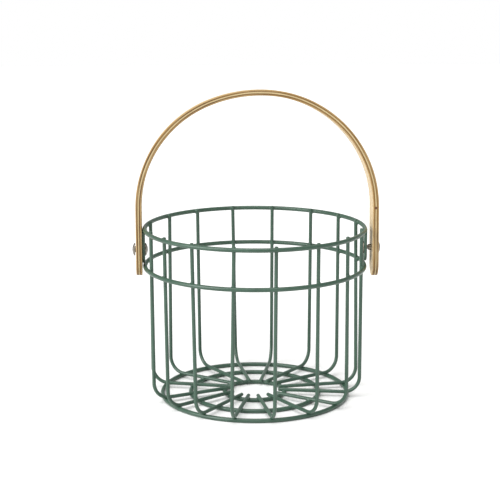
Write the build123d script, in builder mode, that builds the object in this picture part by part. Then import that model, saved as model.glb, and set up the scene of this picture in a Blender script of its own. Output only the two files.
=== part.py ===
"""Round wire produce basket with a bent plywood bail handle.

Sixteen J-shaped wire ribs stand inside two hoops and run in over three base rings.
A lug hangs from the rim at each side and carries a sleeve nut and screw, and the
handle swings on the two sleeve nuts. Millimetres, +Z up, origin on the basket's axis
in the plane it stands on, +X through the right-hand lug.
"""
import os
from math import atan2, cos, degrees, radians, sin, sqrt

from build123d import *

# Wire stock, coated
RING_WIRE = 4.2
RIB_WIRE = 3.6

# Hoops, centreline sizes
RIM_RADIUS = 107.9
RIM_HEIGHT = 169.6
WAIST_RADIUS = 107.9
WAIST_HEIGHT = 132.7

# Base rings, centreline radii; they lie on the table
BASE_RING_RADII = {"outer": 92.3, "middle": 64.0, "inner": 30.1}

# Ribs: how deep each weld has sunk the rib into a hoop or a base ring
HOOP_WELD_DEPTH = 1.1
BASE_WELD_DEPTH = 0.8
RIB_BEND_RADIUS = 16.0
RIB_TIP_RADIUS = 24.0
RIB_TOP_ABOVE_RIM = 2.8
RIB_END_ROUNDING = 1.2

# The ribs are set by hand, so they lean a little and run in unevenly. Each has three angles about
# the basket's axis, in degrees from +X: its top's, its bend's and its spoke's tip's.
RIB_ANGLES = [
    (12.9, 8.2, 7),
    (32.6, 32.4, 33.5),
    (53.3, 53.7, 58),
    (77, 77.2, 72.5),
    (99.8, 98.2, 100),
    (121.6, 120.6, 118.5),
    (143, 143.4, 142.5),
    (167.5, 166.5, 164.5),
    (195.5, 197.7, 175.5),
    (212.9, 214.9, 207),
    (233.4, 235.3, 236.5),
    (256.6, 255.3, 253),
    (277.8, 277.3, 274.5),
    (301.1, 301, 298.5),
    (323.5, 324.4, 318.5),
    (347.4, 349.3, 344.5),
]

# Lugs: flat plates hung from the rim
LUG_THICKNESS = 2.5
LUG_WIDTH = 14.0
LUG_INNER_FACE = 107.8
LUG_BOTTOM = 135.4
LUG_TOP_BELOW_RIM = 1.2
LUG_HOLE = 6.2

# Pivot hardware
PIVOT_HEIGHT = 148.9
HEAD_DIAMETER = 12.4
HEAD_THICKNESS = 2.8
HEAD_RIM_THICKNESS = 0.9
BARREL_DIAMETER = 6.0
BARREL_LENGTH = 9.4
BARREL_BORE = 4.1
BARREL_BORE_DEPTH = 8.2
SCREW_DIAMETER = 4.0
SCREW_LENGTH = 8.0
SLOT_LENGTH = 6.4
SLOT_WIDTH = 1.1
SLOT_DEPTH = 0.9
LEFT_BARREL_TIP = 108.1
RIGHT_BARREL_TIP = 112.0

# Handle: one bent strap of plywood. It leans back on its pivots, pushed over to the right. Its
# left shoulder is bent a little tighter and its left leg is shorter. Heights are from the pivots.
STRAP_THICKNESS = 5.8
STRAP_WIDTH = 28.0
STRAP_EDGE_ROUNDING = 0.6
HANDLE_LEAN = 5.0
HANDLE_SHIFT = 2.3
HANDLE_HALF_SPAN = 118.7
RIGHT_LEG_BELOW_PIVOT = 28.2
LEFT_LEG_BELOW_PIVOT = 25.6
SHOULDER_ABOVE_PIVOT = 40.9
RIGHT_SHOULDER_RADIUS = 114.3
LEFT_SHOULDER_RADIUS = 112.4
CROWN_RADIUS = 137.0
HANDLE_HOLE = 6.12

# Places that follow from the sizes above
RIB_RADIUS = RIM_RADIUS - RING_WIRE / 2 - RIB_WIRE / 2 + HOOP_WELD_DEPTH
SPOKE_HEIGHT = RING_WIRE + RIB_WIRE / 2 - BASE_WELD_DEPTH
RIB_TOP = RIM_HEIGHT + RIB_TOP_ABOVE_RIM
LUG_TOP = RIM_HEIGHT - LUG_TOP_BELOW_RIM
STRAP_CENTRE = STRAP_THICKNESS / 2
PIVOT_AXIS = Axis((0, 0, PIVOT_HEIGHT), (1, 0, 0))


def side_plane(side, distance):
    """A plane square to the pivot axis, facing outward, at a distance from the basket's axis."""
    return Plane(origin=(side * distance, 0, PIVOT_HEIGHT), x_dir=(0, side, 0), z_dir=(side, 0, 0))


def make_rib(top_angle, bend_angle, tip_angle):
    """A J-shaped wire: down the side, round the bend and in as a spoke."""
    top = Vector(RIB_RADIUS, 0, RIB_TOP).rotate(Axis.Z, top_angle)
    corner = Vector(RIB_RADIUS, 0, SPOKE_HEIGHT).rotate(Axis.Z, bend_angle)
    tip = Vector(RIB_TIP_RADIUS, 0, SPOKE_HEIGHT).rotate(Axis.Z, tip_angle)
    with BuildPart() as rib:
        with BuildLine() as wire:
            FilletPolyline(top, corner, tip, radius=RIB_BEND_RADIUS)
        with BuildSketch(Plane(origin=wire.line @ 0, z_dir=wire.line % 0)):
            Circle(RIB_WIRE / 2)
        sweep()
        wire_ends = rib.faces().filter_by(GeomType.PLANE)
        fillet(wire_ends.edges(), radius=RIB_END_ROUNDING)
    return rib.part


def make_ring(radius, height, ribs):
    """A closed ring of wire with a shallow weld seat wherever a rib crosses it."""
    with BuildPart() as ring:
        with BuildSketch(Plane.XZ):
            with Locations((radius, height)):
                Circle(RING_WIRE / 2)
        revolve(axis=Axis.Z)
        add(ribs, mode=Mode.SUBTRACT)
    return ring.part


def make_lug(side):
    """A flat plate with a round bottom, its top edge saddled under the rim."""
    end_radius = LUG_WIDTH / 2
    top = LUG_TOP - PIVOT_HEIGHT
    end_centre = LUG_BOTTOM + end_radius - PIVOT_HEIGHT
    with BuildPart() as lug:
        with BuildSketch(side_plane(side, LUG_INNER_FACE)):
            with Locations((0, (top + end_centre) / 2)):
                Rectangle(LUG_WIDTH, top - end_centre)
            with Locations((0, end_centre)):
                Circle(end_radius)
            Circle(LUG_HOLE / 2, mode=Mode.SUBTRACT)
        extrude(amount=LUG_THICKNESS)
        with Locations((0, 0, RIM_HEIGHT)):
            Torus(RIM_RADIUS, RING_WIRE / 2, mode=Mode.SUBTRACT)
    return lug.part


def make_barrel(side, tip):
    """A sleeve nut: a plain barrel with a blind bore, and a low domed head outside the handle."""
    outward = Plane(origin=(0, 0, PIVOT_HEIGHT), x_dir=(side, 0, 0), z_dir=(0, -side, 0))
    shoulder = tip + BARREL_LENGTH
    apex = shoulder + HEAD_THICKNESS
    head_radius = HEAD_DIAMETER / 2
    with BuildPart() as barrel:
        with BuildSketch(outward):
            with BuildLine():
                outline = Polyline(
                    (apex, 0),
                    (tip, 0),
                    (tip, BARREL_DIAMETER / 2),
                    (shoulder, BARREL_DIAMETER / 2),
                    (shoulder, head_radius),
                    (shoulder + HEAD_RIM_THICKNESS, head_radius),
                )
                TangentArc(outline @ 0, outline @ 1, tangent=(0, 1))
            make_face()
        revolve(axis=PIVOT_AXIS)
        with Locations(side_plane(side, tip)):
            Cylinder(
                BARREL_BORE / 2,
                BARREL_BORE_DEPTH,
                align=(Align.CENTER, Align.CENTER, Align.MIN),
                mode=Mode.SUBTRACT,
            )
    return barrel.part


def make_screw(side):
    """A cross-slotted screw: its head bears on the lug's inner face, its shank runs outward."""
    outward = Plane(origin=(0, 0, PIVOT_HEIGHT), x_dir=(side, 0, 0), z_dir=(0, -side, 0))
    shoulder = LUG_INNER_FACE
    tip = shoulder + SCREW_LENGTH
    apex = shoulder - HEAD_THICKNESS
    head_radius = HEAD_DIAMETER / 2
    with BuildPart() as screw:
        with BuildSketch(outward):
            with BuildLine():
                outline = Polyline(
                    (apex, 0),
                    (tip, 0),
                    (tip, SCREW_DIAMETER / 2),
                    (shoulder, SCREW_DIAMETER / 2),
                    (shoulder, head_radius),
                    (shoulder - HEAD_RIM_THICKNESS, head_radius),
                )
                TangentArc(outline @ 0, outline @ 1, tangent=(0, 1))
            make_face()
        revolve(axis=PIVOT_AXIS)
        with BuildSketch(side_plane(side, apex)):
            Rectangle(SLOT_LENGTH, SLOT_WIDTH)
            Rectangle(SLOT_WIDTH, SLOT_LENGTH)
        extrude(amount=SLOT_DEPTH, mode=Mode.SUBTRACT)
    return screw.part


def make_side_outline():
    """The handle's outline from the side: full width above and a half-round end to each leg."""
    lean = radians(HANDLE_LEAN)
    view = Plane(
        origin=(HANDLE_SHIFT, 0, PIVOT_HEIGHT),
        x_dir=(0, cos(lean), -sin(lean)),
        z_dir=(1, 0, 0),
    )
    above = SHOULDER_ABOVE_PIVOT + CROWN_RADIUS
    with BuildPart() as outline:
        for side, below in ((1, RIGHT_LEG_BELOW_PIVOT), (-1, LEFT_LEG_BELOW_PIVOT)):
            end_centre = STRAP_WIDTH / 2 - below
            with BuildSketch(view):
                with Locations((0, (above + end_centre) / 2)):
                    Rectangle(STRAP_WIDTH, above - end_centre)
                with Locations((0, end_centre)):
                    Circle(STRAP_WIDTH / 2)
            extrude(amount=side * (HANDLE_HALF_SPAN + 1))
    return outline.part


def make_handle():
    """A plywood strap bent to a round-shouldered arch, with half-round leg ends and pivot holes."""
    lean = radians(HANDLE_LEAN)
    arch_plane = Plane(
        origin=(HANDLE_SHIFT, 0, PIVOT_HEIGHT),
        x_dir=(1, 0, 0),
        z_dir=(0, -cos(lean), sin(lean)),
    )

    # The crown's centre lies below the shoulders' centres, so that the three arcs run on smoothly
    leg = HANDLE_HALF_SPAN - STRAP_CENTRE
    right_centre = HANDLE_HALF_SPAN - RIGHT_SHOULDER_RADIUS
    left_centre = LEFT_SHOULDER_RADIUS - HANDLE_HALF_SPAN
    right_step = CROWN_RADIUS - RIGHT_SHOULDER_RADIUS
    left_step = CROWN_RADIUS - LEFT_SHOULDER_RADIUS
    gap = right_centre - left_centre
    aside = (right_step**2 - left_step**2 + gap**2) / (2 * gap)
    drop = sqrt(right_step**2 - aside**2)
    crown_centre = (right_centre - aside, SHOULDER_ABOVE_PIVOT - drop)
    right_end = degrees(atan2(drop, aside))
    left_end = degrees(atan2(drop, aside - gap))

    with BuildPart() as handle:
        with BuildLine(arch_plane) as bend:
            Line((leg, -RIGHT_LEG_BELOW_PIVOT), (leg, SHOULDER_ABOVE_PIVOT))
            CenterArc(
                (right_centre, SHOULDER_ABOVE_PIVOT),
                RIGHT_SHOULDER_RADIUS - STRAP_CENTRE,
                0,
                right_end,
            )
            CenterArc(crown_centre, CROWN_RADIUS - STRAP_CENTRE, right_end, left_end - right_end)
            CenterArc(
                (left_centre, SHOULDER_ABOVE_PIVOT),
                LEFT_SHOULDER_RADIUS - STRAP_CENTRE,
                left_end,
                180 - left_end,
            )
            Line((-leg, SHOULDER_ABOVE_PIVOT), (-leg, -LEFT_LEG_BELOW_PIVOT))
        with BuildSketch(Plane(origin=bend.line @ 0, x_dir=(1, 0, 0), z_dir=bend.line % 0)):
            Rectangle(STRAP_THICKNESS, STRAP_WIDTH)
        sweep()
        add(make_side_outline(), mode=Mode.INTERSECT)
        strap_edges = handle.edges().filter_by(lambda edge: edge.length > STRAP_THICKNESS + 1)
        fillet(strap_edges, radius=STRAP_EDGE_ROUNDING)
        with Locations(side_plane(1, 0)):
            Cylinder(HANDLE_HOLE / 2, 2 * HANDLE_HALF_SPAN + 4 * HANDLE_SHIFT, mode=Mode.SUBTRACT)
    return handle.part


def save(part, name):
    part.label = name
    export_step(part, f"parts/{name}.step")


os.makedirs("parts", exist_ok=True)

ribs = [make_rib(*angles) for angles in RIB_ANGLES]
for number, rib in enumerate(ribs, start=1):
    save(rib, f"rib_{number:02d}")

save(make_ring(RIM_RADIUS, RIM_HEIGHT, ribs), "rim_ring")
save(make_ring(WAIST_RADIUS, WAIST_HEIGHT, ribs), "waist_ring")
for place, radius in BASE_RING_RADII.items():
    save(make_ring(radius, RING_WIRE / 2, ribs), f"base_ring_{place}")

for side_name, side, barrel_tip in (("left", -1, LEFT_BARREL_TIP), ("right", 1, RIGHT_BARREL_TIP)):
    save(make_lug(side), f"lug_{side_name}")
    save(make_barrel(side, barrel_tip), f"pivot_barrel_{side_name}")
    save(make_screw(side), f"pivot_screw_{side_name}")

save(make_handle(), "handle")
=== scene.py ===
from math import acos, atan2, cos, pi, radians, sin, sqrt, tan

import bmesh
import bpy
import numpy as np
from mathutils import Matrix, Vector
from mathutils.kdtree import KDTree


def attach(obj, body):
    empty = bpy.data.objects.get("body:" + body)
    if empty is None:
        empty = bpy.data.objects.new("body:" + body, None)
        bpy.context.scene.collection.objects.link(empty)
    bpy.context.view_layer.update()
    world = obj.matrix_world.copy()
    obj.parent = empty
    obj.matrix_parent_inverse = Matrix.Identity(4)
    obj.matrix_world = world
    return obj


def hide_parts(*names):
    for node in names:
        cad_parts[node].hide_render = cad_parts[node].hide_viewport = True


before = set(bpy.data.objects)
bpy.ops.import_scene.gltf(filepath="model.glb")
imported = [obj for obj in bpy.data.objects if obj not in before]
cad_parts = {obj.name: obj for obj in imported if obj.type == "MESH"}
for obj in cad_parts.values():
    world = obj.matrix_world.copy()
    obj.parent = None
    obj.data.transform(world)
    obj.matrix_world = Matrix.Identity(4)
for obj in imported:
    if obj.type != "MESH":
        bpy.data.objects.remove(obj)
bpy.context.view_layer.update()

scene = bpy.context.scene
MM = 0.001

# ---------------------------------------------------------------- sizes, in mm
RING_R = 4.2 / 2
RIB_R = 3.6 / 2
RIM_RADIUS = 107.9
RIM_HEIGHT = 169.6
WAIST_HEIGHT = 132.7
BASE_RINGS = {"outer": 92.3, "middle": 64.0, "inner": 30.1}
RIB_RADIUS = 105.1  # of the circle that the uprights stand on, to their middles
SPOKE_HEIGHT = 5.2  # of a spoke's middle above the table
RIB_TOP = 172.4
RIB_BEND = 16.0  # the radius of the bend from upright to spoke
RIB_TIP_RADIUS = 24.0
RIB_END_ROUNDING = 1.2
# Each rib's angle about the basket's axis, in degrees: at its top, at its bend, at its spoke's tip
RIB_ANGLES = [
    (12.9, 8.2, 7),
    (32.6, 32.4, 33.5),
    (53.3, 53.7, 58),
    (77, 77.2, 72.5),
    (99.8, 98.2, 100),
    (121.6, 120.6, 118.5),
    (143, 143.4, 142.5),
    (167.5, 166.5, 164.5),
    (195.5, 197.7, 175.5),
    (212.9, 214.9, 207),
    (233.4, 235.3, 236.5),
    (256.6, 255.3, 253),
    (277.8, 277.3, 274.5),
    (301.1, 301, 298.5),
    (323.5, 324.4, 318.5),
    (347.4, 349.3, 344.5),
]

LUG_THICKNESS = 2.5
LUG_HALF_WIDTH = 7.0
LUG_INNER_FACE = 107.8
LUG_BOTTOM = 135.4
LUG_TOP = 168.4
LUG_HOLE_R = 3.1
LUG_EDGE_ROUNDING = 0.55

PIVOT = 148.9  # the height of the handle's axis, which runs along X
HEAD_R = 6.2
HEAD_THICKNESS = 2.8
HEAD_RIM = 0.9
BARREL_R = 3.0
BARREL_LENGTH = 9.4
BORE_R = 2.05
BORE_DEPTH = 8.2
SCREW_R = 2.0
SCREW_LENGTH = 8.0
SLOT_LENGTH = 6.4
SLOT_WIDTH = 1.1
SLOT_DEPTH = 0.9
# How far each barrel's inner end is from the middle: the left one reaches into its lug's hole, and
# the right one stops short of its lug
BARREL_TIPS = {"left": 108.1, "right": 112.0}
SIDES = {"left": -1, "right": 1}

# The handle's strap: half its thickness, half its width, and its path about the pivot axis
STRAP_HALF = 2.9
STRAP_HALF_WIDTH = 14.0
STRAP_ROUNDING = 0.6
STRAP_LEAN = radians(5.0)
STRAP_SHIFT = 2.3
HALF_SPAN = 118.7
RIGHT_LEG_BELOW = 28.2
LEFT_LEG_BELOW = 25.6
SHOULDER = 40.9
RIGHT_R = 114.3
LEFT_R = 112.4
CROWN_R = 137.0
STRAP_HOLE_R = 3.06


# ---------------------------------------------------------------- materials
def linear(red, green, blue):
    """A screen colour, 0 to 255, as the linear colour that a shader takes."""
    out = []
    for level in (red, green, blue):
        c = level / 255
        out.append(c / 12.92 if c <= 0.04045 else ((c + 0.055) / 1.055) ** 2.4)
    return (*out, 1.0)


class Shader:
    """A node material being built: a Principled shader and the nodes that feed it."""

    def __init__(self, name, **sockets):
        self.material = bpy.data.materials.new(name)
        self.material.use_nodes = True
        self.tree = self.material.node_tree
        self.tree.nodes.clear()
        self.output = self.tree.nodes.new("ShaderNodeOutputMaterial")
        self.surface = self.add("BsdfPrincipled", **sockets)
        self.tree.links.new(self.surface.outputs[0], self.output.inputs["Surface"])

    def add(self, kind, settings=None, **sockets):
        """A node; a socket's value is a constant or another node's output."""
        node = self.tree.nodes.new("ShaderNode" + kind)
        for key, value in (settings or {}).items():
            setattr(node, key, value)
        for key, value in sockets.items():
            self.put(node, key.replace("_", " "), value)
        return node

    def put(self, node, key, value):
        """Sets or links an input, by its name or, as i and a number, by its place."""
        by_place = key[0] == "i" and key[1:].isdigit()
        socket = node.inputs[int(key[1:])] if by_place else node.inputs[key]
        if isinstance(value, bpy.types.NodeSocket):
            self.tree.links.new(value, socket)
        else:
            socket.default_value = value

    def noise(self, vector, scale, detail=2.0, roughness=0.5):
        """Noise from 0 to 1, with about scale spots to each unit of vector."""
        node = self.add(
            "TexNoise", Vector=vector, Scale=scale, Detail=detail, Roughness=roughness, Distortion=0.0
        )
        return node.outputs["Fac"]

    def stretch(self, vector, x, y, z):
        """A place scaled along each axis, so noise on it runs fine or long there."""
        return self.add("Mapping", Vector=vector, Scale=(x, y, z)).outputs[0]

    def ramp(self, factor, stops):
        """Colours at places along a factor, blended evenly between them."""
        node = self.add("ValToRGB", Fac=factor)
        band = node.color_ramp
        band.interpolation = "LINEAR"
        while len(band.elements) > 1:
            band.elements.remove(band.elements[-1])
        band.elements[0].position, band.elements[0].color = stops[0]
        for place, colour in stops[1:]:
            band.elements.new(place).color = colour
        return node.outputs[0]

    def span(self, value, low, high, new_low=0.0, new_high=1.0, smooth=False):
        """value carried from low..high to new_low..new_high, and held at the ends."""
        node = self.add("MapRange", {"interpolation_type": "SMOOTHSTEP" if smooth else "LINEAR"})
        self.put(node, "Value", value)
        for key, number in (
            ("From Min", low),
            ("From Max", high),
            ("To Min", new_low),
            ("To Max", new_high),
        ):
            self.put(node, key, number)
        return node.outputs[0]

    def math(self, operation, first, second=0.0):
        """One arithmetic step on numbers or sockets."""
        return self.add("Math", {"operation": operation}, i0=first, i1=second).outputs[0]

    def mix(self, factor, first, second):
        """One colour blended into another by a factor."""
        node = self.add("Mix", {"data_type": "RGBA", "blend_type": "MIX"})
        self.put(node, "i0", factor)
        self.put(node, "i6", first)
        self.put(node, "i7", second)
        return node.outputs[2]

    def bump(self, height, strength, distance):
        """Relief on the surface, distance metres deep at full height."""
        node = self.add("Bump", Strength=strength, Distance=distance, Height=height)
        self.put(self.surface, "Normal", node.outputs[0])


def powder_coat():
    """Sage satin powder coat: orange peel, slight clouding and paler specks."""
    s = Shader("sage_powder_coat", Specular_IOR_Level=0.5, Coat_Weight=0.15, Coat_Roughness=0.2)
    place = s.add("TexCoord").outputs["Object"]
    cloud = s.noise(place, 45, 3)
    speck = s.noise(place, 520, 2)
    peel = s.noise(place, 620, 2, 0.45)
    grit = s.noise(place, 2300, 1)
    colour = s.ramp(cloud, [(0.3, linear(48, 76, 61)), (0.7, linear(60, 89, 73))])
    colour = s.mix(s.span(speck, 0.56, 0.74, 0, 0.3), colour, linear(76, 101, 85))
    s.put(s.surface, "Base Color", colour)
    s.put(s.surface, "Roughness", s.span(cloud, 0.3, 0.7, 0.3, 0.4))
    height = s.math("ADD", peel, s.math("MULTIPLY", grit, 0.25))
    s.bump(height, 0.35, 0.00018)
    return s.material


def nickel():
    """Nickel plate, turned: fine circles about the pivot axis, a little dulling, and colours kept dark
    as painted reflection.
    """
    s = Shader("nickel_plate", Metallic=1.0)
    place = s.add("TexCoord").outputs["Object"]
    axis = s.add("SeparateXYZ", Vector=place)
    height = s.math("SUBTRACT", axis.outputs["Z"], PIVOT * MM)
    squares = s.math("ADD", s.math("POWER", axis.outputs["Y"], 2.0), s.math("POWER", height, 2.0))
    radius = s.math("SQRT", squares)
    circles = s.add(
        "CombineXYZ",
        X=s.math("MULTIPLY", radius, 5200),
        Y=s.math("MULTIPLY", axis.outputs["X"], 900),
    )
    turned = s.noise(circles.outputs[0], 1.0, 2)
    dull = s.noise(place, 260, 3)
    # Both colours are darker than bare nickel: painted reflection of dark surroundings, with patchy
    # dulling between them
    colour = s.ramp(dull, [(0.35, linear(108, 102, 92)), (0.65, linear(146, 141, 132))])
    s.put(s.surface, "Base Color", colour)
    s.put(s.surface, "Roughness", s.span(s.mix(0.4, dull, turned), 0.3, 0.7, 0.16, 0.32))
    s.bump(turned, 0.2, 0.00005)
    return s.material


# In metres. The small knot is in the right leg's front edge, and its place is along, across and out
# from the strap's middle. The plies' colours fill PLY_STACK each way from the middle ply, and give
# way to the face's between the other two depths.
KNOT = (-0.001, -0.0141, -0.0002)
PLY_STACK = 0.0029
FACE_STARTS = 0.00272
FACE_WHOLE = 0.00288


def plywood():
    """Birch plywood: five plies on the edges, long fine grain on the faces.

    The mesh carries each vertex's place on the flat strap, in metres, as the attribute strap:
    X along, Y across and Z out from the middle ply.
    """
    s = Shader("birch_plywood", Specular_IOR_Level=0.4, Coat_Weight=0.08, Coat_Roughness=0.35)
    source = s.add("Attribute", {"attribute_name": "strap", "attribute_type": "GEOMETRY"})
    strap = source.outputs["Vector"]
    depth = s.add("SeparateXYZ", Vector=strap).outputs["Z"]
    wander = s.noise(s.stretch(strap, 25, 40, 40), 1.0, 2)
    drift = s.math("MULTIPLY", s.math("SUBTRACT", wander, 0.5), 0.0007)
    layer = s.span(s.math("ADD", depth, drift), -PLY_STACK, PLY_STACK)

    inner = linear(168, 136, 82)
    cross = linear(130, 98, 48)
    centre = linear(205, 186, 138)
    outer = linear(170, 138, 84)
    glue = linear(98, 68, 33)
    plies = s.ramp(
        layer,
        [
            (0.0, inner),
            (0.185, inner),
            (0.2, glue),
            (0.225, cross),
            (0.38, cross),
            (0.395, glue),
            (0.42, centre),
            (0.58, centre),
            (0.605, glue),
            (0.63, cross),
            (0.785, cross),
            (0.8, glue),
            (0.82, outer),
            (1.0, outer),
        ],
    )
    black = (0.0, 0.0, 0.0, 1.0)
    white = (1.0, 1.0, 1.0, 1.0)
    is_cross = s.ramp(
        layer,
        [
            (0.19, black),
            (0.22, white),
            (0.38, white),
            (0.41, black),
            (0.6, black),
            (0.63, white),
            (0.78, white),
            (0.81, black),
        ],
    )
    long_edge = s.noise(s.stretch(strap, 70, 300, 2600), 1.0, 3, 0.6)
    end_edge = s.noise(s.stretch(strap, 1900, 700, 800), 1.0, 3, 0.65)
    edge_grain = s.mix(is_cross, long_edge, end_edge)
    edge = s.mix(s.span(edge_grain, 0.35, 0.7, 0.0, 0.5), plies, linear(122, 86, 50))
    pale = s.noise(s.stretch(strap, 18, 20, 900), 1.0, 2)
    edge = s.mix(s.span(pale, 0.45, 0.75, 0, 0.35), edge, linear(226, 205, 163))

    # Dark heartwood runs for a stretch in one cross ply, then in another
    patch = s.noise(s.stretch(strap, 26, 30, 1100), 1.0, 3, 0.6)
    dark = s.math("MULTIPLY", s.span(patch, 0.47, 0.57, 0.0, 0.92), is_cross)
    edge = s.mix(dark, edge, linear(80, 52, 24))

    # The faces' grain, bowed a little from side to side
    bowed = s.noise(s.stretch(strap, 9, 60, 0), 1.0, 2)
    warp = s.add("CombineXYZ", Y=s.math("MULTIPLY", bowed, 0.012))
    face_place = s.add("VectorMath", {"operation": "ADD"}, i0=strap, i1=warp.outputs[0]).outputs[0]
    bands = s.noise(s.stretch(face_place, 5, 170, 0), 1.0, 3, 0.6)
    streaks = s.noise(s.stretch(face_place, 38, 1500, 0), 1.0, 3, 0.6)
    pores = s.noise(s.stretch(strap, 260, 2900, 0), 1.0, 1)
    face = s.ramp(
        bands,
        [
            (0.3, linear(200, 173, 128)),
            (0.5, linear(213, 190, 148)),
            (0.72, linear(190, 160, 112)),
        ],
    )
    face = s.mix(s.span(streaks, 0.5, 0.75, 0.0, 0.4), face, linear(186, 150, 101))
    face = s.mix(s.span(pores, 0.6, 0.72, 0.0, 0.45), face, linear(150, 112, 70))

    on_face = s.span(s.math("ABSOLUTE", depth), FACE_STARTS, FACE_WHOLE, smooth=True)
    colour = s.mix(on_face, edge, face)
    offset = s.add("VectorMath", {"operation": "SUBTRACT"}, i0=strap, i1=KNOT).outputs[0]
    distance = s.add("VectorMath", {"operation": "LENGTH"}, i0=offset).outputs["Value"]
    ragged = s.math("ADD", distance, s.math("MULTIPLY", s.noise(strap, 900, 2), 0.0006))
    knot = s.span(ragged, 0.0011, 0.0021, 0.95, 0.0, smooth=True)
    colour = s.mix(knot, colour, linear(88, 48, 26))
    s.put(s.surface, "Base Color", colour)
    grain = s.mix(on_face, edge_grain, s.mix(0.4, streaks, pores))
    s.put(s.surface, "Roughness", s.span(grain, 0.3, 0.7, 0.42, 0.6))
    s.bump(grain, 0.3, 0.00022)
    return s.material


def paper():
    """The pale floor: matt, with the faintest mottle."""
    s = Shader("pale_floor", Roughness=0.9, Specular_IOR_Level=0.1)
    place = s.add("TexCoord").outputs["Object"]
    mottle = s.noise(place, 9, 3)
    colour = s.ramp(mottle, [(0.3, (0.93, 0.93, 0.925, 1)), (0.7, (0.95, 0.95, 0.95, 1))])
    s.put(s.surface, "Base Color", colour)
    s.bump(s.noise(place, 700, 2), 0.05, 0.0002)
    return s.material


# ---------------------------------------------------------------- mesh helpers
def new_object(name, points, faces, material, sharp=45):
    """A closed mesh of points in mm, smooth but for edges sharper than an angle."""
    mesh = bpy.data.meshes.new(name)
    mesh.from_pydata((np.asarray(points, float) * MM).tolist(), [], faces)
    work = bmesh.new()
    work.from_mesh(mesh)
    bmesh.ops.recalc_face_normals(work, faces=work.faces)
    work.to_mesh(mesh)
    work.free()
    mesh.materials.append(material)
    mesh.shade_smooth()
    mesh.set_sharp_from_angle(angle=radians(sharp))
    piece = bpy.data.objects.new(name, mesh)
    scene.collection.objects.link(piece)
    return piece


def fit(piece, body, slot, *nodes):
    """Puts a piece on its body and hides the CAD nodes it stands for; slot is not used."""
    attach(piece, body)
    if nodes:
        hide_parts(*nodes)


def loft(rows, columns, wrap):
    """Quads over rows of columns points, each row closed, and the last row joined to the first."""
    faces = []
    for i in range(rows if wrap else rows - 1):
        here = i * columns
        there = (i + 1) % rows * columns
        for j in range(columns):
            k = (j + 1) % columns
            faces.append((here + j, here + k, there + k, there + j))
    return faces


def capped(sections, start, end):
    """A closed skin over a stack of equal loops, each end closed to a point."""
    rows, columns = sections.shape[:2]
    points = np.vstack([sections.reshape(-1, 3), start, end])
    faces = loft(rows, columns, False)
    first = rows * columns
    last = (rows - 1) * columns
    for j in range(columns):
        k = (j + 1) % columns
        faces.append((first, k, j))
        faces.append((first + 1, last + j, last + k))
    return points, faces


def turn(profile, side, steps=64):
    """A closed solid of revolution about the pivot axis: profile points (x outward, radius)."""
    angles = np.linspace(0, 2 * pi, steps, endpoint=False)
    profile = np.array(profile)
    x = side * profile[1:-1, 0][:, None] + 0 * angles
    y = profile[1:-1, 1][:, None] * np.cos(angles)
    z = PIVOT + profile[1:-1, 1][:, None] * np.sin(angles)
    start = (side * profile[0, 0], 0, PIVOT)
    end = (side * profile[-1, 0], 0, PIVOT)
    return capped(np.stack([x, y, z], 2), start, end)


def carve(piece, cutter):
    """Cuts one closed mesh out of another for good, and drops the cutter."""
    cut = piece.modifiers.new("carve", "BOOLEAN")
    cut.operation = "DIFFERENCE"
    cut.solver = "EXACT"
    cut.object = cutter
    bpy.context.view_layer.update()
    depsgraph = bpy.context.evaluated_depsgraph_get()
    mesh = bpy.data.meshes.new_from_object(
        piece.evaluated_get(depsgraph), preserve_all_data_layers=True, depsgraph=depsgraph
    )
    piece.modifiers.clear()
    old = piece.data
    piece.data = mesh
    bpy.data.meshes.remove(old)
    mesh.name = piece.name
    bpy.data.objects.remove(cutter)


def crease(piece, sharp):
    """Shades a piece smooth but for edges sharper than an angle."""
    piece.data.shade_smooth()
    piece.data.set_sharp_from_angle(angle=radians(sharp))


# ---------------------------------------------------------------- wires
def ring_mesh(radius, height, steps=288, about=24):
    """A closed ring of round wire, flat at a height."""
    turns = np.linspace(0, 2 * pi, steps, endpoint=False)[:, None]
    section = np.linspace(0, 2 * pi, about, endpoint=False)[None, :]
    r = radius + RING_R * np.cos(section)
    z = height + RING_R * np.sin(section) + 0 * turns
    points = np.stack([r * np.cos(turns), r * np.sin(turns), z], 2)
    return points.reshape(-1, 3), loft(steps, about, True)


def around(radius, angle, height):
    """A point on a circle about the basket's axis."""
    return np.array([radius * cos(radians(angle)), radius * sin(radians(angle)), height])


def unit(vector):
    """A vector of length 1 the same way."""
    return vector / np.linalg.norm(vector)


class Bend:
    """A rib's centreline: its top, the bend's start, centre and end, and the spoke's tip."""

    def __init__(self, top_angle, bend_angle, tip_angle):
        self.top = around(RIB_RADIUS, top_angle, RIB_TOP)
        corner = around(RIB_RADIUS, bend_angle, SPOKE_HEIGHT)
        self.tip = around(RIB_TIP_RADIUS, tip_angle, SPOKE_HEIGHT)
        self.up = unit(self.top - corner)
        self.inward = unit(self.tip - corner)
        opening = acos(self.up @ self.inward)
        reach = RIB_BEND / tan(opening / 2)
        self.start = corner + self.up * reach
        self.end = corner + self.inward * reach
        self.centre = corner + unit(self.up + self.inward) * RIB_BEND / sin(opening / 2)
        self.turn = pi - opening

    def upright_at(self, height):
        """Where the upright's line is at a height."""
        return self.top + self.up * (height - self.top[2]) / self.up[2]

    def spoke_at(self, radius):
        """Where the spoke's line meets a circle about the basket's axis."""
        a = self.inward[:2] @ self.inward[:2]
        b = 2 * self.end[:2] @ self.inward[:2]
        c = self.end[:2] @ self.end[:2] - radius**2
        return self.end + self.inward * (-b - sqrt(b * b - 4 * a * c)) / (2 * a)


BENDS = [Bend(*angles) for angles in RIB_ANGLES]


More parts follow.
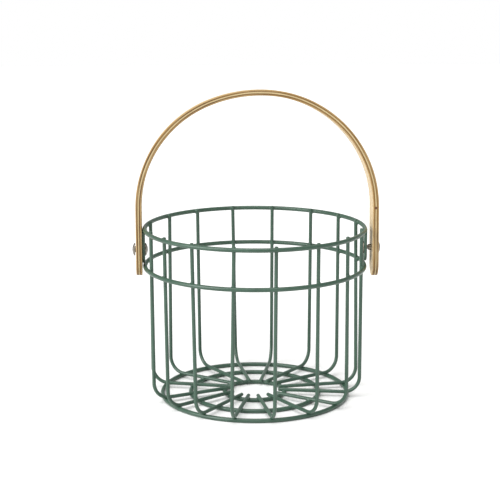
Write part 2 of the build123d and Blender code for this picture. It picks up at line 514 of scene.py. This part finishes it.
def rib_mesh(bend, about=20):
    """A round wire along a rib's centreline, with a rounded end each way."""
    out_start = unit(bend.start - bend.centre)
    out_end = unit(bend.end - bend.centre)
    flat = RIB_R - RIB_END_ROUNDING
    quarter = np.linspace(0, pi / 2, 6)

    # Stations along the wire: (centre, outward side, radius). The straight runs' own stations keep
    # clear of the rounded ends.
    stations = []
    for t in quarter:
        drop = RIB_END_ROUNDING * (1 - cos(t))
        stations.append((bend.top - bend.up * drop, out_start, flat + RIB_END_ROUNDING * sin(t)))
    for t in np.linspace(0.025, 1, 26):
        stations.append((bend.top + t * (bend.start - bend.top), out_start, RIB_R))
    for t in np.linspace(0, 1, 19)[1:]:
        out = sin((1 - t) * bend.turn) * out_start + sin(t * bend.turn) * out_end
        out /= sin(bend.turn)
        stations.append((bend.centre + RIB_BEND * out, out, RIB_R))
    for t in np.linspace(0, 0.97, 13)[1:]:
        stations.append((bend.end + t * (bend.tip - bend.end), out_end, RIB_R))
    for t in quarter[::-1]:
        back = RIB_END_ROUNDING * (1 - cos(t))
        stations.append((bend.tip - bend.inward * back, out_end, flat + RIB_END_ROUNDING * sin(t)))

    side = unit(np.cross(bend.up, bend.inward))
    section = np.linspace(0, 2 * pi, about, endpoint=False)[:, None]
    loops = [
        centre + r * (np.cos(section) * out + np.sin(section) * side)
        for centre, out, r in stations
    ]
    return capped(np.array(loops), bend.top, bend.tip)


# ---------------------------------------------------------------- welds
# A weld is a fillet between two wires, kept to a ball about their crossing, on a grid of WELD_STEP.
# WELD_SHRINK keeps its surface just inside each wire away from the fillet.
WELD_REACH = 1.9
WELD_SHRINK = 0.03
WELD_BALL = 4.3
WELD_STEP = 0.42
WELD_SWELLS = (0.8, 1.1)
HOOP_WELD_INSET = 0.5
BASE_WELD_HEIGHT = 3.7

# The bead along a lug's top edge is the part of the fillet between plate and rim that lies inside a
# round bar of BEAD_RADIUS, whose middle runs BEAD_INSET out from the plate's inner face.
BEAD_REACH = 2.1
BEAD_INSET = 0.6
BEAD_HALF_LENGTH = 6.6
BEAD_HEIGHT = 167.6
BEAD_RADIUS = 3.4
BEAD_STEP = 0.4
BEAD_BOX_MIDDLE = 108.4
BEAD_BOX_HALF = (5, 11.5)
BEAD_BOX_BOTTOM = 163
BEAD_BOX_TOP = 172.5
LUG_ROUND = 0.5

# For drawing a mesh's points onto a field's zero level, and for where the slope is too small to use
SLOPE_STEP = 0.01
LEAST_SLOPE = 0.2


def to_ring(p, radius, height):
    """How far points are outside a ring of wire, and negative inside it."""
    return np.hypot(np.hypot(p[..., 0], p[..., 1]) - radius, p[..., 2] - height) - RING_R


def to_wire(p, start, end, radius):
    """How far points are outside a straight round-ended wire, and negative inside it."""
    start, end = np.array(start, float), np.array(end, float)
    along = end - start
    t = np.clip((p - start) @ along / (along @ along), 0, 1)
    return np.linalg.norm(p - start - t[..., None] * along, axis=-1) - radius


def blend_fields(first, second, reach):
    """Two distances joined with a fillet, which starts reach away from their crossing."""
    near = np.maximum(reach - np.abs(first - second), 0) / reach
    return np.minimum(first, second) - near**2 * reach / 4


def net(field, low, high, step):
    """A closed quad mesh of a field's zero level, negative inside, its points drawn onto it."""
    axes = [np.arange(a, b, step) for a, b in zip(low, high)]
    grid = np.stack(np.meshgrid(*axes, indexing="ij"), -1)
    inside = field(grid) < 0
    rows, columns, floors = (count - 1 for count in inside.shape)
    corners = sum(
        inside[i : rows + i, j : columns + j, k : floors + k].astype(int)
        for i in (0, 1)
        for j in (0, 1)
        for k in (0, 1)
    )
    active = (corners > 0) & (corners < 8)
    number = np.full(active.shape, -1)
    number[active] = np.arange(active.sum())
    points = np.argwhere(active) * step + np.array(low) + step / 2
    for _ in range(4):
        value = field(points)
        slope = np.stack(
            [
                (field(points + d) - field(points - d)) / (2 * SLOPE_STEP)
                for d in SLOPE_STEP * np.eye(3)
            ],
            -1,
        )
        size = np.maximum((slope**2).sum(-1), LEAST_SLOPE)
        points = points - (value / size)[:, None] * slope
    quads = []
    for axis in range(3):
        flags = np.moveaxis(inside, axis, 0)
        cells = np.moveaxis(number, axis, 0)
        i, j, k = np.nonzero((flags[:-1] != flags[1:])[:, 1:-1, 1:-1])
        quads.append(
            np.stack(
                [cells[i, j, k], cells[i, j + 1, k], cells[i, j + 1, k + 1], cells[i, j, k + 1]], 1
            )
        )
    return points, np.vstack(quads)


def weld_at(centre, ring, wire, swell):
    """One fillet of melted wire where a rib crosses a ring, cut off inside both wires."""
    centre = np.array(centre, float)

    def field(p):
        joined = blend_fields(to_ring(p, *ring), to_wire(p, *wire, RIB_R), WELD_REACH * swell)
        return np.maximum(joined + WELD_SHRINK, np.linalg.norm(p - centre, axis=-1) - WELD_BALL)

    margin = WELD_BALL + 1
    return net(field, centre - margin, centre + margin, WELD_STEP)


def join(meshes):
    """Several meshes' points and faces as one list of each."""
    points, faces, base = [], [], 0
    for part_points, part_faces in meshes:
        points.append(part_points)
        faces.extend((np.asarray(part_faces) + base).tolist())
        base += len(part_points)
    return np.vstack(points), faces


def hoop_welds(height, swells):
    """The welds of all ribs to a hoop, each a little larger or smaller than the next."""
    made = []
    for bend, swell in zip(BENDS, swells):
        crossing = bend.upright_at(height)
        touch = crossing * (RIM_RADIUS - RING_R + HOOP_WELD_INSET) / RIB_RADIUS
        wire = (bend.top - bend.up * RIB_R, bend.start)
        made.append(weld_at((touch[0], touch[1], height), (RIM_RADIUS, height), wire, swell))
    return join(made)


def base_welds(radius, swells):
    """The welds of all spokes to a base ring."""
    made = []
    for bend, swell in zip(BENDS, swells):
        crossing = bend.spoke_at(radius)
        wire = (bend.end, bend.tip - bend.inward * RIB_R)
        centre = (crossing[0], crossing[1], BASE_WELD_HEIGHT)
        made.append(weld_at(centre, (radius, RING_R), wire, swell))
    return join(made)


def lug_weld(side):
    """The bead that holds a lug's top edge under the rim, along both its faces and round its ends."""
    middle = np.array([side * (LUG_INNER_FACE + LUG_THICKNESS / 2), 0, (LUG_TOP + PIVOT) / 2])
    half = np.array([LUG_THICKNESS / 2, LUG_HALF_WIDTH, (LUG_TOP - PIVOT) / 2])

    def field(p):
        q = np.abs(p - middle) - half + LUG_ROUND
        plate = np.linalg.norm(np.maximum(q, 0), axis=-1) + np.minimum(q.max(-1), 0) - LUG_ROUND
        joined = blend_fields(to_ring(p, RIM_RADIUS, RIM_HEIGHT), plate, BEAD_REACH) + WELD_SHRINK
        x = side * LUG_INNER_FACE + side * BEAD_INSET
        start, end = (x, -BEAD_HALF_LENGTH, BEAD_HEIGHT), (x, BEAD_HALF_LENGTH, BEAD_HEIGHT)
        return np.maximum(joined, to_wire(p, start, end, BEAD_RADIUS))

    low = np.array([side * BEAD_BOX_MIDDLE - BEAD_BOX_HALF[0], -BEAD_BOX_HALF[1], BEAD_BOX_BOTTOM])
    high = np.array([side * BEAD_BOX_MIDDLE + BEAD_BOX_HALF[0], BEAD_BOX_HALF[1], BEAD_BOX_TOP])
    return net(field, low, high, BEAD_STEP)


# ---------------------------------------------------------------- lugs and pivots
LUG_INTO_RIM = 0.6
CORNER_CUT = 0.03  # half the angle that a corner's cut takes, seen from the pivot, in radians
FAR = 1e9
TINY = 1e-9

SMALL_EDGE = 0.15
SCREW_POINT = 0.4
BARREL_TIP_EDGE = 0.3
DOME_STOP = 0.955  # how much of the dome's arc is kept before the rim's rounded edge
CUTTER_OVER = 1.0


def lug_mesh(side):
    """A plate with a round bottom, square top and a hole, its edges rounded by the coating."""
    bottom = LUG_BOTTOM + LUG_HALF_WIDTH - PIVOT
    top = LUG_TOP + LUG_INTO_RIM - PIVOT
    corner = atan2(top, LUG_HALF_WIDTH)
    corners = [
        place + off for place in (corner, pi - corner) for off in (-CORNER_CUT, CORNER_CUT)
    ]
    angles = np.sort(np.append(np.linspace(0, 2 * pi, 72, endpoint=False), corners))

    # How far the edge is from the pivot axis at each angle: the sides, the top or the round bottom
    outline = []
    for a in angles:
        c, s = cos(a), sin(a)
        reach = FAR
        if abs(c) > TINY:
            reach = LUG_HALF_WIDTH / abs(c)
        if s > TINY:
            reach = min(reach, top / s)
        if reach * s < bottom:
            reach = s * bottom + sqrt((s * bottom) ** 2 - bottom**2 + LUG_HALF_WIDTH**2)
        outline.append(reach)
    outline = np.array(outline)
    r = LUG_EDGE_ROUNDING

    def row(kind, inset, level):
        reach = np.full(len(angles), LUG_HOLE_R + inset) if kind == "hole" else outline - inset
        y = reach * np.cos(angles)
        z = PIVOT + reach * np.sin(angles)
        x = side * (LUG_INNER_FACE + level) + 0 * y
        return np.column_stack([x, y, z])

    loops = []
    quarter = np.linspace(0, pi / 2, 5)
    for t in quarter:
        loops.append(row("hole", r * (1 - cos(t)), r * (1 - sin(t))))
    for t in quarter:
        loops.append(row("out", r * (1 - sin(t)), r * (1 - cos(t))))
    for t in quarter:
        loops.append(row("out", r * (1 - cos(t)), LUG_THICKNESS - r * (1 - sin(t))))
    for t in quarter:
        loops.append(row("hole", r * (1 - sin(t)), LUG_THICKNESS - r * (1 - cos(t))))
    return np.vstack(loops), loft(len(loops), len(angles), True)


def dome(apex, outward):
    """A low domed head's profile from its apex to its seat; outward is 1 if it faces away."""
    rise = HEAD_THICKNESS - HEAD_RIM
    ball = (rise**2 + HEAD_R**2) / (2 * rise)
    edge = atan2(HEAD_R, ball - rise)
    points = []
    for a in np.linspace(0.0, edge * DOME_STOP, 14):
        points.append((apex - outward * ball * (1 - cos(a)), ball * sin(a)))
    rim = apex - outward * rise
    seat = apex - outward * HEAD_THICKNESS
    points += [
        (rim - outward * 0.02, HEAD_R - 0.07),
        (rim - outward * 0.2, HEAD_R),
        (seat + outward * SMALL_EDGE, HEAD_R),
        (seat, HEAD_R - SMALL_EDGE),
    ]
    return points


def barrel_mesh(side, tip):
    """A sleeve nut: its domed head outside, and a blind bore from its tip."""
    shoulder = tip + BARREL_LENGTH
    profile = dome(shoulder + HEAD_THICKNESS, 1) + [
        (shoulder, BARREL_R + SMALL_EDGE),
        (shoulder - SMALL_EDGE, BARREL_R),
        (tip + BARREL_TIP_EDGE, BARREL_R),
        (tip, BARREL_R - BARREL_TIP_EDGE),
        (tip, BORE_R + SMALL_EDGE),
        (tip + SMALL_EDGE, BORE_R),
        (tip + BORE_DEPTH, BORE_R),
        (tip + BORE_DEPTH, 0),
    ]
    return turn(profile, side)


def screw_mesh(side):
    """A screw: its domed head inside the basket, its shank out through the lug."""
    tip = LUG_INNER_FACE + SCREW_LENGTH
    profile = dome(LUG_INNER_FACE - HEAD_THICKNESS, -1) + [
        (LUG_INNER_FACE, SCREW_R + SMALL_EDGE),
        (LUG_INNER_FACE + SMALL_EDGE, SCREW_R),
        (tip - SCREW_POINT, SCREW_R),
        (tip, SCREW_R - SCREW_POINT),
        (tip, 0),
    ]
    return turn(profile, side)


def cross_cutter(side, material):
    """The cross recess of a screw, as a straight bar that stands out past the head."""
    arm = SLOT_LENGTH / 2
    half = SLOT_WIDTH / 2
    plan = [(arm, -half), (arm, half), (half, half), (half, arm), (-half, arm), (-half, half)]
    plan += [(-arm, half), (-arm, -half), (-half, -half), (-half, -arm), (half, -arm), (half, -half)]
    apex = LUG_INNER_FACE - HEAD_THICKNESS
    points = []
    for level in (-CUTTER_OVER, SLOT_DEPTH):
        for y, z in plan:
            points.append((side * (apex + level), y, PIVOT + z))
    faces = loft(2, 12, False) + [tuple(range(12)), tuple(range(12, 24))]
    return new_object("cutter", points, faces, material)


# ---------------------------------------------------------------- handle
# The arch is three arcs, tangent to each other: right shoulder, crown, left shoulder. Each is
# (centre across, centre above the pivots, radius to the strap's middle, start angle, end angle).
LEG = HALF_SPAN - STRAP_HALF
RIGHT_C = HALF_SPAN - RIGHT_R
LEFT_C = LEFT_R - HALF_SPAN
GAP = RIGHT_C - LEFT_C
ASIDE = ((CROWN_R - RIGHT_R) ** 2 - (CROWN_R - LEFT_R) ** 2 + GAP**2) / (2 * GAP)
DROP = sqrt((CROWN_R - RIGHT_R) ** 2 - ASIDE**2)
RIGHT_END = atan2(DROP, ASIDE)
LEFT_END = atan2(DROP, ASIDE - GAP)
ARCS = (
    (RIGHT_C, SHOULDER, RIGHT_R - STRAP_HALF, 0.0, RIGHT_END),
    (RIGHT_C - ASIDE, SHOULDER - DROP, CROWN_R - STRAP_HALF, RIGHT_END, LEFT_END),
    (LEFT_C, SHOULDER, LEFT_R - STRAP_HALF, LEFT_END, pi),
)
ARC_LENGTH = sum(r * (b - a) for _, _, r, a, b in ARCS)


def on_bend(s):
    """Where the strap's centreline is, s mm from the right shoulder's start, and its outward side."""
    if s <= 0:
        return LEG, SHOULDER + s, 1.0, 0.0
    if s >= ARC_LENGTH:
        return -LEG, SHOULDER - (s - ARC_LENGTH), -1.0, 0.0
    for x, h, r, a, b in ARCS:
        if s <= r * (b - a) or b == pi:
            turned = a + s / r
            return x + r * cos(turned), h + r * sin(turned), cos(turned), sin(turned)
        s -= r * (b - a)


def strap_point(s, a, d):
    """A place on the strap (along, across towards the back, outward) as a point of the basket."""
    x, h, nx, nh = on_bend(s)
    x += nx * d
    h += nh * d
    return (
        STRAP_SHIFT + x,
        h * sin(STRAP_LEAN) + a * cos(STRAP_LEAN),
        PIVOT + h * cos(STRAP_LEAN) - a * sin(STRAP_LEAN),
    )


def strap_mesh():
    """The strap laid out flat as (s, a, d), with half-round ends and rounded edges."""
    end = -(SHOULDER + RIGHT_LEG_BELOW - STRAP_HALF_WIDTH)
    other_end = ARC_LENGTH + SHOULDER + LEFT_LEG_BELOW - STRAP_HALF_WIDTH
    body = list(np.linspace(end, 0, 15)) + list(np.linspace(0, ARC_LENGTH, 131))[1:-1]
    body += list(np.linspace(ARC_LENGTH, other_end, 15))
    steps = np.linspace(pi / 2, 0, 13)
    rows = [("start", t) for t in steps[:-1]]
    rows += [("body", s) for s in body]
    rows += [("end", t) for t in steps[::-1][1:]]
    n = len(rows)
    fractions = np.linspace(-1, 1, 13)
    m = len(fractions)

    def row_at(row, inset):
        kind, value = row
        r = STRAP_HALF_WIDTH - inset
        if kind == "start":
            return end - r * sin(value), r * cos(value)
        if kind == "end":
            return other_end + r * sin(value), r * cos(value)
        return value, r

    levels = []
    quarter = np.linspace(0, pi / 2, 5)
    flat = STRAP_HALF - STRAP_ROUNDING
    for t in quarter:
        levels.append((STRAP_ROUNDING * (1 - sin(t)), flat + STRAP_ROUNDING * cos(t)))
    levels += [(0.0, flat / 3), (0.0, -flat / 3)]
    for t in quarter[::-1]:
        levels.append((STRAP_ROUNDING * (1 - sin(t)), -flat - STRAP_ROUNDING * cos(t)))

    # The outline's loops, one at each level from the outer face to the inner one
    points = []
    loop = 2 * (n - 1)
    for inset, depth in levels:
        for i in range(loop):
            row = rows[i] if i < n else rows[loop - i]
            s, half = row_at(row, inset)
            side = 0 if i in (0, n - 1) else 1 if i < n else -1
            points.append((s, side * half, depth))
    faces = loft(len(levels), loop, False)

    # The two broad faces, as grids inside the first loop and the last
    for level in (0, len(levels) - 1):
        inset, depth = levels[level]
        inner = {}
        for i in range(1, n - 1):
            s, half = row_at(rows[i], inset)
            for j in range(1, m - 1):
                inner[i, j] = len(points)
                points.append((s, fractions[j] * half, depth))

        def index(i, j):
            if i in (0, n - 1):
                return level * loop + i
            if j == m - 1:
                return level * loop + i
            if j == 0:
                return level * loop + loop - i
            return inner[i, j]

        for i in range(n - 1):
            for j in range(m - 1):
                quad = [index(i, j), index(i, j + 1), index(i + 1, j + 1), index(i + 1, j)]
                face = list(dict.fromkeys(quad))
                if len(face) > 2:
                    faces.append(tuple(face))
    return points, faces


SAME_POINT = 0.01


def strap_layout(mesh, flat):
    """Each vertex's place on the flat strap, in metres; the bores' own vertices lie on the legs."""
    tree = KDTree(len(flat))
    for number, place in enumerate(flat):
        tree.insert(Vector(strap_point(*place)), number)
    tree.balance()
    layout = []
    for vertex in mesh.vertices:
        point = vertex.co / MM
        _, number, distance = tree.find(point)
        if distance < SAME_POINT:
            layout.append(flat[number])
            continue
        x, up = point.x - STRAP_SHIFT, point.z - PIVOT
        rise = up * cos(STRAP_LEAN) + point.y * sin(STRAP_LEAN) - SHOULDER
        along = rise if x > 0 else ARC_LENGTH - rise
        layout.append((along, point.y * cos(STRAP_LEAN) - up * sin(STRAP_LEAN), abs(x) - LEG))
    return np.array(layout, dtype=np.float32) * MM


def bore_cutter(material):
    """A round bar along the pivot axis, through both legs."""
    angles = np.linspace(0, 2 * pi, 64, endpoint=False)
    y, z = STRAP_HOLE_R * np.cos(angles), PIVOT + STRAP_HOLE_R * np.sin(angles)
    end = HALF_SPAN + 20
    loops = np.array([np.column_stack([x + 0 * angles, y, z]) for x in (-end, end)])
    points, faces = capped(loops, (-end, 0, PIVOT), (end, 0, PIVOT))
    return new_object("bore", points, faces, material)


# ---------------------------------------------------------------- the object
# Edges sharper than this angle, in degrees, are drawn sharp
METAL_EDGE = 30
WOOD_EDGE = 60

coat = powder_coat()
plate = nickel()
wood = plywood()

for place, height in (("rim", RIM_HEIGHT), ("waist", WAIST_HEIGHT)):
    piece = new_object(f"wire_{place}", *ring_mesh(RIM_RADIUS, height), coat)
    fit(piece, "basket", "coated_wire", f"{place}_ring")
for place, radius in BASE_RINGS.items():
    piece = new_object(f"wire_base_{place}", *ring_mesh(radius, RING_R, 224), coat)
    fit(piece, "basket", "coated_wire", f"base_ring_{place}")
for count, bend in enumerate(BENDS, start=1):
    piece = new_object(f"wire_rib_{count:02d}", *rib_mesh(bend), coat)
    fit(piece, "basket", "coated_wire", f"rib_{count:02d}")

luck = np.random.default_rng(7)
for place, height in (("rim", RIM_HEIGHT), ("waist", WAIST_HEIGHT)):
    swells = luck.uniform(*WELD_SWELLS, len(BENDS))
    fit(new_object(f"welds_{place}", *hoop_welds(height, swells), coat), "basket", "coated_wire")
for place, radius in BASE_RINGS.items():
    swells = luck.uniform(*WELD_SWELLS, len(BENDS))
    piece = new_object(f"welds_base_{place}", *base_welds(radius, swells), coat)
    fit(piece, "basket", "coated_wire")

for name, side in SIDES.items():
    fit(new_object(f"plate_lug_{name}", *lug_mesh(side), coat), "basket", "coated_plate", f"lug_{name}")
    points, faces = lug_weld(side)
    fit(new_object(f"welds_lug_{name}", points, faces.tolist(), coat), "basket", "coated_plate")
    turned = barrel_mesh(side, BARREL_TIPS[name])
    barrel = new_object(f"turned_barrel_{name}", *turned, plate, METAL_EDGE)
    fit(barrel, "basket", "plated_steel", f"pivot_barrel_{name}")
    screw = new_object(f"turned_screw_{name}", *screw_mesh(side), plate, METAL_EDGE)
    carve(screw, cross_cutter(side, plate))
    crease(screw, METAL_EDGE)
    fit(screw, "basket", "plated_steel", f"pivot_screw_{name}")

flat_points, strap_faces = strap_mesh()
bent_points = [strap_point(*p) for p in flat_points]
strap = new_object("bent_strap", bent_points, strap_faces, wood, WOOD_EDGE)
carve(strap, bore_cutter(wood))
crease(strap, WOOD_EDGE)
layout = strap.data.attributes.new("strap", "FLOAT_VECTOR", "POINT")
layout.data.foreach_set("vector", strap_layout(strap.data, flat_points).ravel())
fit(strap, "handle", "plywood", "handle")

# ---------------------------------------------------------------- floor, light and camera
FLOOR_HALF = 4.0
SURROUND_STRENGTH = 0.5
BACKDROP_STRENGTH = 1.0
WHITE = (1, 1, 1, 1)

floor_mesh = bpy.data.meshes.new("floor")
work = bmesh.new()
bmesh.ops.create_grid(work, x_segments=8, y_segments=8, size=FLOOR_HALF)
work.to_mesh(floor_mesh)
work.free()
floor_mesh.materials.append(paper())
floor = bpy.data.objects.new("floor", floor_mesh)
scene.collection.objects.link(floor)


def soft_sun(name, towards, strength, spread):
    """A broad even light, the same everywhere, that shines towards a direction."""
    light = bpy.data.lights.new(name, "SUN")
    light.energy = strength
    light.angle = radians(spread)
    lamp = bpy.data.objects.new(name, light)
    lamp.rotation_euler = Vector(towards).to_track_quat("-Z", "Y").to_euler()
    lamp.location = -Vector(towards)
    scene.collection.objects.link(lamp)


soft_sun("overhead", towards=(0.1, 0.25, -1.0), strength=1.7, spread=50)
soft_sun("key", towards=(0.9, 0.5, -0.5), strength=2.5, spread=45)

# The world lights the object evenly and softly, and behind the object it shows as plain white
world = bpy.data.worlds.new("studio")
scene.world = world
world.use_nodes = True
nodes = world.node_tree.nodes
links = world.node_tree.links
surround = nodes["Background"]
surround.inputs["Color"].default_value = WHITE
surround.inputs["Strength"].default_value = SURROUND_STRENGTH
backdrop = nodes.new("ShaderNodeBackground")
backdrop.inputs["Color"].default_value = WHITE
backdrop.inputs["Strength"].default_value = BACKDROP_STRENGTH
ray = nodes.new("ShaderNodeLightPath")
chosen = nodes.new("ShaderNodeMixShader")
links.new(ray.outputs["Is Camera Ray"], chosen.inputs[0])
links.new(surround.outputs[0], chosen.inputs[1])
links.new(backdrop.outputs[0], chosen.inputs[2])
links.new(chosen.outputs[0], nodes["World Output"].inputs["Surface"])
scene.view_settings.view_transform = "Standard"

# The camera stands off the rim's centre, in metres, and looks a little below and beside it
CAMERA_DISTANCE = 1.3776
CAMERA_HEIGHT_ANGLE = radians(11.21)
CAMERA_SIDE_ANGLE = radians(3.0)
AIM_DOWN = radians(12.13)
AIM_RIGHT = radians(2.80)
SENSOR_WIDTH = 36
LENS = 100.998

camera_data = bpy.data.cameras.new("camera")
camera = bpy.data.objects.new("camera", camera_data)
scene.collection.objects.link(camera)
level = CAMERA_DISTANCE * cos(CAMERA_HEIGHT_ANGLE)
camera.location = (
    -level * sin(CAMERA_SIDE_ANGLE),
    -level * cos(CAMERA_SIDE_ANGLE),
    RIM_HEIGHT * MM + CAMERA_DISTANCE * sin(CAMERA_HEIGHT_ANGLE),
)
gaze = Vector((sin(AIM_RIGHT) * cos(AIM_DOWN), cos(AIM_RIGHT) * cos(AIM_DOWN), -sin(AIM_DOWN)))
camera.rotation_euler = gaze.to_track_quat("-Z", "Y").to_euler()
camera_data.sensor_width = SENSOR_WIDTH
camera_data.lens = LENS
camera_data.clip_start = 0.01
camera_data.clip_end = 20
scene.camera = camera
